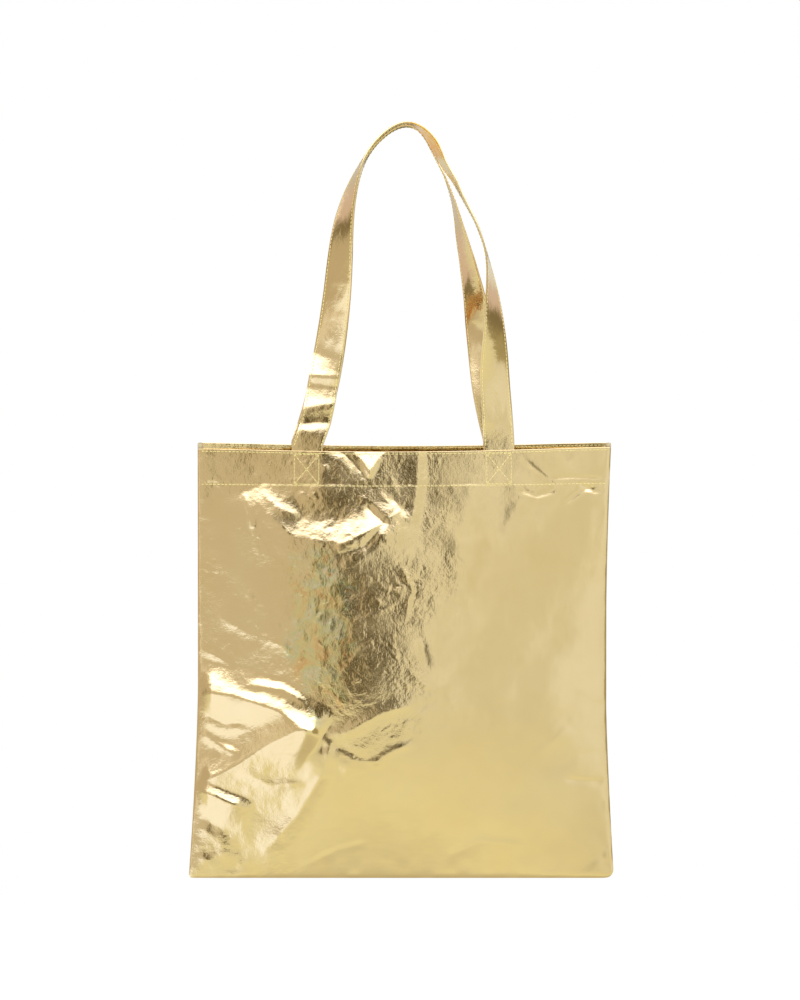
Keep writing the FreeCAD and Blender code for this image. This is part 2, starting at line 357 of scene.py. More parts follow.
BACK_CREASES = [
    (1.8, 16, 20, (-150, 340), (-110, 316), (-60, 308), (-10, 330), (10, 356)),
    (1.4, 14, 20, (82, 128), (104, 92), (128, 30)),
    (1.6, 10, 12, (188, 84), (156, 70), (130, 64)),
    (1.2, 14, 18, (-186, 120), (-150, 112), (-96, 130)),
    (1.2, 10, 12, (-186, 60), (-160, 40), (-146, 12)),
    (1.0, 14, 20, (20, 300), (34, 240), (26, 190)),
    (-0.5, 4, 5, (96, 352), (130, 346), (170, 351)),
]


def front_relief():
    """The front wall's folds: sharp at the left and the bottom left, nearly smooth at the right."""
    r = Relief("front")
    x, z = r.x, r.z
    lively = 0.50 + 0.50 * smoothstep(50, -30, x + 12 * noise(x, z, 60, 3))
    lively *= 0.8 + 0.35 * noise(x, z, 50, 5)
    corner = smoothstep(150, 60, np.hypot(x + 150, z - 95))
    calm_bottom = 1 - 0.85 * smoothstep(125, 80, z) * smoothstep(-105, -75, x + (z - 60) * -0.5)
    free = (1 - 0.7 * r.in_hem) * calm_bottom
    r.facets(34, 0.55, 11, (lively * 0.8 + corner * 0.8) * free, stretch=1.5, turn=62)
    r.facets(15, 0.26, 12, (lively + corner * 0.4) * free, stretch=1.3, turn=-35)
    calm_hem = 1 - 0.6 * r.in_hem * smoothstep(-60, -100, x)
    r.facets(6.5, 0.075, 13, (lively + corner * 0.5) * (0.4 + 0.6 * free) * calm_hem)
    for gx, gz, length, width, turn, size, amount in GLINTS:
        ca, sa = cos(radians(turn)), sin(radians(turn))
        along, across = (x - gx) * ca + (z - gz) * sa, (z - gz) * ca - (x - gx) * sa
        near = smoothstep(1.1, 0.5, np.hypot(along / length, across / width) + 0.25 * noise(x, z, 8, 17))
        reach = max(length, width) * 1.4
        around = (gx - reach, gx + reach, gz - reach, gz + reach)
        r.facets(size, amount, int(500 + gx + 3 * gz), near, around=around)
    r.height += hem_bend(x, z)
    # The swag under the hem, between the left strap and the middle
    broken = 1 + 0.18 * noise(x, z, 22, 14)
    swag = [(-134, 352), (-124, 330), (-98, 308), (-54, 302), (-24, 316), (-6, 338)]
    r.crease(swag, 2.65, 30, 44, 0.35, over=broken, power=1.4)
    r.crease([(-128, 350), (-112, 334), (-92, 326)], 0.7, 9, 14, over=broken)
    # Facets in the hem between the straps
    r.facet([(-42, 386), (-30, 361), (-16, 386)], 0.0, -0.13, 1.2, 0.3)
    r.crease([(14, 389), (14, 354), (8, 318)], 0.8, 10, 22, 0.2)
    # The long fold across the lower left, and the facets below it
    r.crease([(-188, 168), (-152, 166), (-110, 152), (-74, 128)], 5.4, 27, 44, 0.2, over=broken, power=1.3)
    r.crease([(-74, 128), (-50, 134), (-20, 150), (14, 160)], 1.1, 12, 12, 0.6)
    r.crease([(-76, 138), (-96, 134), (-120, 122), (-152, 101), (-188, 84)], 4.2, 66, 27, 0.3)
    r.crease([(-88, 140), (-66, 122), (-71, 96), (-94, 58), (-126, 22)], 1.5, 14, 26, 0.3)
    r.crease([(-146, 98), (-118, 84), (-86, 88)], 0.7, 8, 9, over=broken)
    r.crease([(-196, 84), (-176, 77), (-154, 68), (-134, 62)], 3.8, 9, 24, 0.7, power=1.1)
    r.crease([(-192, 52), (-168, 36), (-150, 10)], 0.7, 14, 14, over=broken)
    r.facet([(-80, 138), (-72, 114), (-50, 99), (-30, 103)], -0.025, -0.08, 7.0)
    # Soft crumple at the right
    calm = smoothstep(15, 70, x) * (1 - 0.6 * r.in_hem) * smoothstep(0, 60, z)
    r.height += (0.34 * noise(x, z, 27, 18) + 0.05 * noise(x, z, 11, 19)) * calm
    for height, left, right, *points in FRONT_CREASES:
        r.crease(points, height, left, right)
    r.settle(0.8)
    return r


def back_relief():
    """The back wall's own folds."""
    r = Relief("back")
    x, z = r.x, r.z
    lively = 0.55 + 0.3 * noise(x, z, 80, 23)
    free = 1 - 0.75 * r.in_hem
    r.facets(36, 0.6, 31, lively * free, stretch=1.5, turn=50)
    r.facets(15, 0.2, 32, lively * free, stretch=1.3, turn=-40)
    r.facets(6.5, 0.05, 33, lively * free)
    r.crease([(186, 176), (130, 160), (82, 128), (30, 140)], 2.6, 22, 22, 0.3)
    for height, left, right, *points in BACK_CREASES:
        r.crease(points, height, left, right)
    r.settle(0.9)
    return r


# ------ walls


def half_widths(z):
    """The bag's half width at its left and its right at each height. The bottom corners are rounded."""
    share = z / FRONT_HEIGHT
    left = LEFT_HALF + LEFT_FLARE * np.clip(1 - share / 0.46, 0, 1) ** 1.5
    right = RIGHT_HALF + RIGHT_FLARE * np.clip(1 - share / 0.4, 0, 1) ** 1.3
    right = right + RIGHT_TOP_FLARE * np.clip((share - 0.62) / 0.38, 0, 1) ** 1.6
    return left - corner_inset(z, LEFT_CORNER), right - corner_inset(z, RIGHT_CORNER)


def corner_inset(z, radius):
    """How far a rounded bottom corner draws the edge in at each height."""
    return radius - np.sqrt(np.clip(radius**2 - np.clip(radius - z, 0, radius) ** 2, 0, None))


def sag(wall, x, z):
    """How far the folded edge lies low: most between the straps, and in front at the left."""
    u = np.clip(x / SAG_REACH, -1, 1)
    in_middle, at_left = SAG[wall.name]
    drop = -in_middle * (1 - u**2) ** 1.5 - at_left * (1 - u) / 2
    return drop * smoothstep(TOP[wall.name] - SAG_DEPTH, TOP[wall.name], z)


class Wall:
    """One wall's sheet. Its distance from the middle plane is known at any x and z."""

    def __init__(self, name, relief, lean):
        self.name, self.side, self.relief, self.lean = name, SIDES[name], relief, lean

    def middle(self, x, z):
        """From the bag's middle plane to the middle of the wall's cloth."""
        left, right = half_widths(z)
        half = np.where(x < 0, left, right)
        u = np.clip(x / half, -1, 1)
        share = z / FRONT_HEIGHT
        depth = MOUTH_HALF_GAP * share + BELLY * np.sin(pi * share * (1 + BELLY_DROP * (1 - share)))
        swell = np.clip(depth, 0, None) * (1 - u**2) * (1 - self.lean * u * (1 - u**2))
        edge = np.clip(half - np.abs(x), 0, None)
        low = np.clip(z, 0, None)
        rounding = (1 - np.exp(-edge / SEAM_ROUND_LENGTH)) * (1 - np.exp(-low / SEAM_ROUND_LENGTH))
        held = smoothstep(0, 14, edge) * smoothstep(0, 12, low)
        pucker = PUCKER * noise(x, z, PUCKER_SIZE, 71 + self.side)
        near_seam = pucker * np.exp(-np.minimum(edge, low) / PUCKER_REACH) * rounding
        return SEAM_OPENING + SEAM_ROUND * rounding + swell + self.relief.at(x, z) * held + near_seam

    def point(self, x, z, inward=0.0):
        return np.stack([x, self.side * (self.middle(x, z) - inward), z], axis=-1)

    def outward(self, x, z):
        """The unit normal of the wall, away from the bag."""
        e = 0.4
        sx = (self.middle(x + e, z) - self.middle(x - e, z)) / (2 * e)
        sz = (self.middle(x, z + e) - self.middle(x, z - e)) / (2 * e)
        return unit(np.stack([-sx, np.full_like(sx, self.side), -sz], axis=-1))


def finer_at_end(count, power):
    """Shares from 0 to 1, closer together towards 1."""
    return 1 - (1 - np.linspace(0, 1, count)) ** power


def sheet_grid(wall):
    """The middle of the wall's cloth as rows of points: up the panel, over the fold and down the facing."""
    half = finer_at_end(COLUMNS // 2 + 1, 1.25)
    u = np.concatenate([-half[:0:-1], half])
    top = TOP[wall.name]
    panel_end, hem_start = top - FOLD_GAP / 2, top - HEM_DEPTH
    panel = hem_start * (1 - finer_at_end(PANEL_ROWS, 1.15)[::-1])
    hem = np.linspace(hem_start, panel_end, HEM_ROWS + 1)[1:]
    radius, turns = FOLD_GAP / 2, np.linspace(0, pi, FOLD_ROWS + 2)[1:-1]
    lines = [(z, 0.0, 0.0, 0.0) for z in np.concatenate([panel, hem])]
    lines += [(panel_end, radius * (1 - cos(a)), radius * sin(a), a / pi) for a in turns]
    lines += [(z, FOLD_GAP, 0.0, 1.0) for z in np.linspace(panel_end, hem_start, FACING_ROWS)]
    rows = []
    for z0, layer, lift, shrink in lines:
        left, right = half_widths(np.full_like(u, z0))
        x = u * (np.where(u < 0, left, right) - FACING_SHRINK * shrink)
        z = z0 + sag(wall, x, z0)
        rows.append(np.stack([x, wall.side * (wall.middle(x, z) - layer), z + lift], axis=-1))
    return np.array(rows)


def grid_normals(points, side):
    """A wall's unit normal at each point of its grid, away from the bag on the gold face."""
    return unit(np.cross(np.gradient(points, axis=1), np.gradient(points, axis=0)) * -side)


def mesh_object(name, vertices, faces, materials, face_materials=None, normals=None):
    """A smooth-shaded mesh object from points in millimetres."""
    mesh = bpy.data.meshes.new(name)
    mesh.from_pydata((np.asarray(vertices, float) * MM).tolist(), [], np.asarray(faces).tolist())
    for material in materials:
        mesh.materials.append(material)
    if face_materials is not None:
        mesh.polygons.foreach_set("material_index", np.asarray(face_materials, np.int32))
    mesh.polygons.foreach_set("use_smooth", np.ones(len(faces), bool))
    mesh.validate()
    if normals is not None:
        mesh.normals_split_custom_set_from_vertices(normals.tolist())
    obj = bpy.data.objects.new(name, mesh)
    bpy.context.scene.collection.objects.link(obj)
    return obj


def shell(name, middle, normal, thickness, materials):
    """A closed sheet: the grid moved both ways along its normals, joined round its border."""
    rows, columns = middle.shape[:2]
    outer = middle + normal * thickness / 2
    inner = middle - normal * thickness / 2
    count = rows * columns
    index = np.arange(count).reshape(rows, columns)
    a, b, c, d = index[:-1, :-1], index[:-1, 1:], index[1:, 1:], index[1:, :-1]
    front = np.stack([a, b, c, d], axis=-1).reshape(-1, 4)
    back = front[:, ::-1] + count
    border = np.concatenate([index[0, :], index[1:, -1], index[-1, -2::-1], index[-2:0:-1, 0]])
    after = np.roll(border, -1)
    rim = np.stack([border, border + count, after + count, after], axis=-1)
    faces = np.concatenate([front, back, rim])
    kinds = np.concatenate([np.zeros(len(front)), np.ones(len(back)), np.ones(len(rim))])
    vertices = np.concatenate([outer.reshape(-1, 3), inner.reshape(-1, 3)])
    normals = np.concatenate([normal.reshape(-1, 3), -normal.reshape(-1, 3)])
    corner = vertices[front[0]]
    if np.dot(np.cross(corner[1] - corner[0], corner[3] - corner[0]), normals[front[0][0]]) < 0:
        faces = faces[:, ::-1]
    return mesh_object(name, vertices, faces, materials, kinds, normals)


def build_wall(wall, cloth, lining):
    """The wall's two pieces of cloth, a left and a right, cut at its middle."""
    grid = sheet_grid(wall)
    normal = grid_normals(grid, wall.side)
    half = COLUMNS // 2
    for end, side_x in ENDS.items():
        cut = slice(0, half + 1) if end == "left" else slice(half, None)
        piece = shell(f"{wall.name}_cloth_{end}", grid[:, cut], normal[:, cut], CLOTH, [cloth, lining])
        follow_wall(piece)
        if end == "left":
            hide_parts(f"{wall.name}_panel", f"{wall.name}_hem_facing")


def follow_wall(piece):
    """Bakes the piece's placement into its mesh."""
    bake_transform(piece)


# ------ handles

# Each handle's route, as in the CAD model: x, distance from the middle plane, height above the folded edge,
# and turn about the upright in degrees
ROUTES = {
    "front": [
        (-75.3, 6.5, 42, 4), (-65, 8.5, 95, 18), (-58, 11, 149, 31), (-53.5, 13.2, 198, 50),
        (-45, 14.5, 235, 72), (-32.5, 14.5, 262, 88), (-15.5, 14.5, 281.5, 91), (6.0, 14.5, 289.8, 87),
        (19.5, 14.5, 282, 76), (33, 14.5, 259, 76), (49, 14.5, 230, 86), (65, 14.5, 204, 90),
        (76, 14.5, 171, 94), (80, 14.3, 137, 115), (82, 12, 100, 138), (82.5, 8.7, 61, 163),
        (84.5, 6.6, 32, 170),
    ],
    "back": [
        (-74.5, 6.5, 39, 4), (-64.3, 8.5, 91, 18), (-58, 11, 145, 31), (-53.5, 13.2, 193.5, 50),
        (-45, 14.5, 230.5, 72), (-32.5, 14.5, 257, 88), (-15.5, 14.5, 276.5, 91), (6.0, 14.5, 284.8, 88),
        (19, 14.5, 277, 82), (30, 14.5, 254, 86), (42, 14.5, 221, 93), (50, 14.5, 188, 108),
        (58.5, 14, 153, 124), (66.5, 12.5, 116, 142), (72.5, 10, 76, 160), (78, 7, 38, 174),
    ],
}
STRAP_START = 1.2  # the route's height above the folded edge at both of its ends
STRAP_ON_HEM = 5.77  # its distance from the middle plane there
LIFT_OFF = (2, 26)  # between these heights above the folded edge the strap leaves the wall's form

# Soft kinks of each leg, left then right: distance up the strap, how far it stands out, how far it moves in x
KINKS = {
    "front": (
        [
            (0, 0.8, 0.6), (12, 1.0, 1.8), (21, -0.7, 2.2), (36, 0.0, 1.6), (56, -4.0, 0.4),
            (62, -2.4, 0.2), (86, -6.4, 0), (115, -4.6, 0), (150, -1.0, 0), (185, 0, 0),
        ],
        [
            (0, 0, 0), (6, 0.5, 0), (14, 0.1, 0), (60, -0.6, 0), (80, -0.2, 0), (96, 0.5, 0),
            (140, 0, 0), (190, 0, -1.2), (215, 0, -0.6), (230, 0, 0.8), (246, 0, 2.6), (256, 0, 1.6),
            (268, 0, 0.4), (290, 0, 0),
        ],
    ),
    "back": (
        [(0, 0, 0), (14, 0.8, 0), (26, -0.6, 0), (60, 0.9, 0), (90, -1.5, 0), (150, 0, 0)],
        [
            (0, 0, 0), (18, 0.8, 0), (40, -0.8, 0), (84, 0.6, 0), (87, -0.2, 0), (104, 0.7, 0),
            (108, 0, 0), (128, -1.0, 1.0), (170, 0, 2.4), (245, 0, 2.6), (270, 0, 0),
        ],
    ),
}


def lengths_along(points):
    """The length of a line up to each of its points."""
    return np.concatenate([[0], np.cumsum(np.linalg.norm(np.diff(points, axis=0), axis=1))])


def spline(knots, values, at):
    """A natural cubic curve through values at knots."""
    n = len(knots)
    h = np.diff(knots)
    a = np.zeros((n, n))
    rhs = np.zeros((n,) + values.shape[1:])
    a[0, 0] = a[-1, -1] = 1
    for i in range(1, n - 1):
        a[i, i - 1 : i + 2] = h[i - 1], 2 * (h[i - 1] + h[i]), h[i]
        rhs[i] = 6 * ((values[i + 1] - values[i]) / h[i] - (values[i] - values[i - 1]) / h[i - 1])
    m = np.linalg.solve(a, rhs)
    k = np.clip(np.searchsorted(knots, at, side="right") - 1, 0, n - 2)
    t0, t1 = (knots[k + 1] - at)[:, None], (at - knots[k])[:, None]
    hk = h[k][:, None]
    curve = (m[k] * t0**3 + m[k + 1] * t1**3) / (6 * hk)
    return curve + (values[k] / hk - m[k] * hk / 6) * t0 + (values[k + 1] / hk - m[k + 1] * hk / 6) * t1


class Strap:
    """A handle's strap: its sewn ends on the hem and its free loop, as stations along its length."""

    def __init__(self, wall):
        self.wall, side, top = wall, wall.side, TOP[wall.name]
        ends = [(-STRAP_OFFSET, STRAP_ON_HEM, STRAP_START, 0), (STRAP_OFFSET, STRAP_ON_HEM, STRAP_START, 180)]
        route = ends[:1] + ROUTES[wall.name] + ends[1:]
        points = np.array([(x, side * y, top + rise, turn) for x, y, rise, turn in route], float)
        knots = lengths_along(points[:, :3])
        sewn = HEM_DEPTH + STRAP_START
        self.length = knots[-1] + 2 * sewn
        self.s = np.linspace(-sewn, knots[-1] + sewn, STRAP_ROWS)  # the distance along the strap
        inside = np.clip(self.s, 0, knots[-1])
        free = spline(knots, points, inside)
        self.centre, turn = free[:, :3].copy(), np.radians(free[:, 3])
        self.centre[:, 2] -= np.abs(self.s - inside)
        self.legs = [(np.array(k).T, d) for k, d in zip(KINKS[wall.name], (self.s, knots[-1] - self.s))]
        for (along, _, sideways), distance in self.legs:
            self.centre[:, 0] += self.kinked(distance, along, sideways)
        tangent = unit(np.gradient(self.centre, axis=0))
        self.width = np.stack([np.cos(turn), side * np.sin(turn), np.zeros_like(turn)], axis=1)
        self.normal = unit(np.cross(self.width, tangent) * -side)
        self.rise = self.centre[:, 2] - top
        self.on_wall = 1 - smoothstep(*LIFT_OFF, self.rise)

    @staticmethod
    def kinked(distance, along, offsets):
        """The kinks' offset at each distance, rounded a little."""
        return sum(np.interp(distance + d, along, offsets) for d in (-2.4, -1.2, 0, 1.2, 2.4)) / 5

    def stand_out(self, across):
        """How far the kinks put the strap out of its route. They run askew and unevenly across it."""
        total = 0.0
        for (along, out, _), distance in self.legs:
            askew = 2.6 * across * np.sin(distance / 13.0 + along[2])
            askew = askew + 1.6 * noise(across * 3.0, distance, 9, 44)
            total = total + self.kinked(distance + askew * smoothstep(4, 16, distance), along, out)
        return total

    def surface(self, across, out):
        """A point of the strap: across from -1 to 1 along its width, out in millimetres along its normal."""
        a = (across * STRAP_WIDTH / 2)[..., None]
        free = self.centre + self.width * a + self.normal * out[..., None]
        free[:, 1] += self.wall.side * self.stand_out(across)
        facing = np.sign(self.width[:, 0])
        x = self.centre[:, 0] + facing * across * STRAP_WIDTH / 2
        z = np.minimum(self.centre[:, 2], TOP[self.wall.name] - 0.5)
        layers = CLOTH / 2 + FOLD_GAP + LAYER_GAP + STRAP_THICKNESS / 2
        y = self.wall.side * (self.wall.middle(x, z) - layers + out)
        sewn = np.stack([x, y, self.centre[:, 2]], axis=-1)
        w = self.on_wall[:, None]
        return free * (1 - w) + sewn * w

    def relief(self, across, face):
        """Creases along the strap, and the dip at each row of stitches."""
        seed = 91 + (5 if self.wall.name == "front" else 0)
        s, a = self.s, across * STRAP_WIDTH / 2
        soft = 0.14 * noise(s * 0.8 + a * 0.9, a * 0.4 - s * 0.25, 21, seed)
        fine = 0.10 * noise(s * 0.7 - a * 1.1, a + s * 0.2, 8, seed + 1)
        puff = 0.14 * (1 - np.abs(across) ** 3)
        dip = 0.12 * np.exp(-(((np.abs(across) - STITCH_LINE) * STRAP_WIDTH / 2 / 0.8) ** 2))
        held = 1 - 0.7 * self.on_wall
        return face * (puff - dip) * held + (soft + fine) * (1 - self.on_wall) * (1 - 0.5 * across**2)


def build_strap(wall, material):
    """The strap as one closed band with rounded folded edges."""
    strap = Strap(wall)
    flat = np.linspace(-1, 1, STRAP_COLUMNS)
    half = STRAP_THICKNESS / 2
    edge = [(1 - 1.8 * half * (1 - cos(t)) / STRAP_WIDTH, sin(t)) for t in np.linspace(pi / 2, 0, 5)]
    ring = [(a, 1.0) for a in flat[1:-1] * 0.96]
    ring += [(a, h) for a, h in edge[1:]] + [(a, -h) for a, h in edge[-2:0:-1]]
    ring += [(a, -1.0) for a in flat[-2:0:-1] * 0.96]
    ring += [(-a, -h) for a, h in edge[1:]] + [(-a, h) for a, h in edge[-2:0:-1]]
    columns = [(np.full(len(strap.s), a), h) for a, h in ring]
    grid = np.stack([strap.surface(a, h * half + strap.relief(a, h)) for a, h in columns], axis=1)
    rows, around = grid.shape[:2]
    index = np.arange(rows * around).reshape(rows, around)
    after = np.roll(index, -1, axis=1)
    faces = np.stack([index[:-1], after[:-1], after[1:], index[1:]], axis=-1).reshape(-1, 4).tolist()
    vertices = list(grid.reshape(-1, 3))
    for row, order in ((0, 1), (rows - 1, -1)):
        hub = len(vertices)
        vertices.append(grid[row].mean(axis=0))
        loop = index[row]
        for i in range(0, around, 2):
            a, b, c = loop[i], loop[(i + 1) % around], loop[(i + 2) % around]
            faces.append([hub, c, b, a][::order])
    piece = mesh_object(f"{wall.name}_handle", vertices, faces, [material])
    follow_handle(piece)
    nodes = ("handle_strap", "left_strap_end", "right_strap_end")
    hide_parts(*(f"{wall.name}_{node}" for node in nodes))
    return strap


def follow_handle(piece):
    """Bakes the piece's placement into its mesh."""
    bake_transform(piece)


# ------ stitches


def stitch_shape():
    """One stitch, of length, width and height 1: a rounded thread that dives into the cloth at both ends."""
    points, faces, around = [], [], 7
    half = [(0.5, 0.25, -0.45), (0.42, 0.8, 0.05), (0.2, 1.0, 0.42)]
    stations = [(-along, size, lift) for along, size, lift in half] + half[::-1]
    for i, (along, size, lift) in enumerate(stations):
        for k in range(around):
            a = 2 * pi * k / around
            points.append((along, 0.5 * size * cos(a), lift + 0.5 * size * sin(a)))
            if i > 0:
                low, j = (i - 1) * around, (k + 1) % around
                faces.append((low + k, low + around + k, low + around + j, low + j))
    return np.array(points), np.array(faces)


STITCH_POINTS, STITCH_FACES = stitch_shape()


class Stitches:
    """Stitches collected along lines, then made into one mesh."""

    def __init__(self, seed):
        self.vertices, self.faces, self.rng, self.count = [], [], np.random.default_rng(seed), 0

    def row(self, points, normals):
        """Stitches a pitch apart along a line of points, each lying on the cloth."""
        length = lengths_along(points)
        count = max(int(round(length[-1] / STITCH_PITCH)), 1)
        pitch = length[-1] / count
        for i in range(count):
            middle = (i + 0.5) * pitch
            span = min(STITCH_LENGTH, pitch - STITCH_GAP) / 2
            a, c = (self._at(points, length, middle + d) for d in (-span, span))
            n = self._at(normals, length, middle)
            size = np.linalg.norm(c - a)
            along = (c - a) / size
            n = unit(n - along * np.dot(n, along))
            side = np.cross(n, along) + n * self.rng.uniform(-0.12, 0.12)
            thick = THREAD * self.rng.uniform(0.9, 1.1)
            frame_of_stitch = np.stack([along * size, side * thick, n * thick * STITCH_FLATNESS])
            self.vertices.append((a + c) / 2 + STITCH_POINTS @ frame_of_stitch)
            self.faces.append(STITCH_FACES + self.count)
            self.count += len(STITCH_POINTS)

    @staticmethod
    def _at(values, length, where):
        return np.array([np.interp(where, length, values[:, k]) for k in range(3)])

    def make(self, name, material, *replaced):
        """One piece of all the stitches, in the place of the CAD's thread."""
        piece = mesh_object(name, np.concatenate(self.vertices), np.concatenate(self.faces), [material])
        if replaced:
            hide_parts(*replaced)
        return piece


def line_on_wall(wall, start, stop, face, layers):
    """A straight line drawn on the wall's gold face (face 1) or on a layer inside it (face -1)."""
    n = max(int(np.hypot(stop[0] - start[0], stop[1] - start[1]) / 1.2), 4)
    x, z = np.linspace(start, stop, n).T
    z = z + sag(wall, x, z)
    inward = -CLOTH / 2 if face > 0 else layers
    return wall.point(x, z, inward), wall.outward(x, z) * face


def build_hem_stitches(wall, thread):
    """The two rows along the hem, in the same two halves as the cloth."""
    top = TOP[wall.name]
    for kind, drop in (("top_row", TOP_ROW_DROP), ("hem_row", HEM_ROW_DROP)):
        for end, side_x in ENDS.items():
            stitches = Stitches(int(drop) + side_x)
            left, right = half_widths(np.array([top - drop]))
            reach = (left if side_x < 0 else right)[0]
            for face, stop in ((1, reach - ROW_INSET), (-1, reach - FACING_SHRINK - INNER_ROW_INSET)):
                start, stop = (side_x * 0.2, top - drop), (side_x * stop, top - drop)
                stitches.row(*line_on_wall(wall, start, stop, face, FOLD_GAP + CLOTH / 2))
            replaced = [f"{wall.name}_{kind}_thread"] if end == "left" else []
            piece = stitches.make(f"{wall.name}_{kind}_stitches_{end}", thread, *replaced)
            follow_wall(piece)


def build_cross_stitches(wall, thread):
    """The sewn box with a cross that holds each end of the handle, seen on both faces of the wall."""
    top = TOP[wall.name]
    half = STRAP_WIDTH / 2 - BOX_INSET
    for end, side_x in ENDS.items():
        centre = side_x * STRAP_OFFSET
        stitches = Stitches(int(centre) + 400)
        x0, x1, z0, z1 = centre - half, centre + half, top - BOX_BOTTOM_DROP, top - BOX_TOP_DROP
        corners = [(x0, z0), (x1, z0), (x1, z1), (x0, z1)]
        lines = list(zip(corners, corners[1:] + corners[:1])) + [corners[::2], corners[:0:-2]]
        layers = FOLD_GAP + CLOTH / 2 + LAYER_GAP + STRAP_THICKNESS
        for a, b in lines:
            for face in (1, -1):
                stitches.row(*line_on_wall(wall, a, b, face, layers))
        piece = stitches.make(f"{wall.name}_{end}_cross_stitches", thread, f"{wall.name}_{end}_cross_thread")
        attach(piece, f"{wall.name}_wall")


def build_strap_stitches(strap, thread):
    """A row of stitches along each edge of the strap, on both of its faces."""
    wall = strap.wall
    half = STRAP_THICKNESS / 2
    for end, side_x in ENDS.items():
        stitches = Stitches(600 + side_x)
        across = np.full(len(strap.s), side_x * STITCH_LINE)
        for face in (1, -1):
            line = strap.surface(across, face * half + strap.relief(across, face))
            past = strap.surface(across, face * (half + 1.0) + strap.relief(across, face))
            shown = strap.rise > (1.0 if face > 0 else -HEM_DEPTH + 1)
            stitches.row(line[shown], (past - line)[shown])
        edge = f"{wall.name}_handle_{end}_edge"
        follow_handle(stitches.make(f"{edge}_stitches", thread, f"{edge}_thread"))


# ------ seams


def allowance(name, layer, x, z, inside, seed, lining):
    """One seam allowance on a grid, a little wavy towards its free edge, which is furthest inside the bag."""
    wave = 0.12 * noise(*((z, inside) if name != "bottom" else (x, inside)), 9, seed)
    y = layer * SEAM_LAYER + wave * smoothstep(4, SEAM_ALLOWANCE, inside)
    grid = np.stack(np.broadcast_arrays(x, y, z), axis=-1)
    normal = np.zeros_like(grid)
    normal[..., 1] = layer
    full_name = f"{name}_allowance_{'front' if layer < 0 else 'back'}"
    piece = shell(full_name, grid, normal, ALLOWANCE_THICKNESS, [lining, lining])
    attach(piece, "bag_seams")
    if layer < 0:
        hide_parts(f"{name}_seam" if name == "bottom" else f"{name}_side_seam")
    return piece


def seam_stitches(name, x, z, seed, thread):
    """The row of stitches along a seam, on both of its sides."""
    stitches = Stitches(seed)
    for face in (-1, 1):
        points = np.stack([x, np.full_like(x, face * SEAM_STITCH_OUT), z], axis=-1)
        stitches.row(points, np.tile([0.0, face, 0.0], (len(points), 1)))
    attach(stitches.make(f"{name}_seam_stitches", thread, f"{name}_seam_thread"), "bag_seams")


def build_seams(lining, thread):
    """The seam allowances turned inside, two layers along each side and the bottom, with their stitches."""
    inside = np.linspace(ALLOWANCE_START, SEAM_ALLOWANCE, 9)
    z = np.linspace(SIDE_SEAM_LOW, FRONT_HEIGHT - SIDE_SEAM_TOP_DROP, 160)
    pieces = {}
    for name, edge, side_x in zip(("left", "right"), half_widths(z), (-1, 1)):
        for wall, layer in SIDES.items():
            x = side_x * (edge[:, None] - inside)
            pieces[f"{name}_{wall}"] = allowance(name, layer, x, z[:, None], inside, 50 + side_x, lining)
        seam_stitches(name, (side_x * (edge - SEAM_ALLOWANCE / 2))[4:], z[4:], 70 + side_x, thread)
    x = np.linspace(-BOTTOM_SEAM_REACH, BOTTOM_SEAM_REACH, 150)
    for wall, layer in SIDES.items():
        pieces[f"bottom_{wall}"] = allowance("bottom", layer, x, inside[:, None], inside[:, None], 57, lining)
    seam_stitches("bottom", x, np.full_like(x, SEAM_ALLOWANCE / 2), 77, thread)
    return pieces


# ------ materials


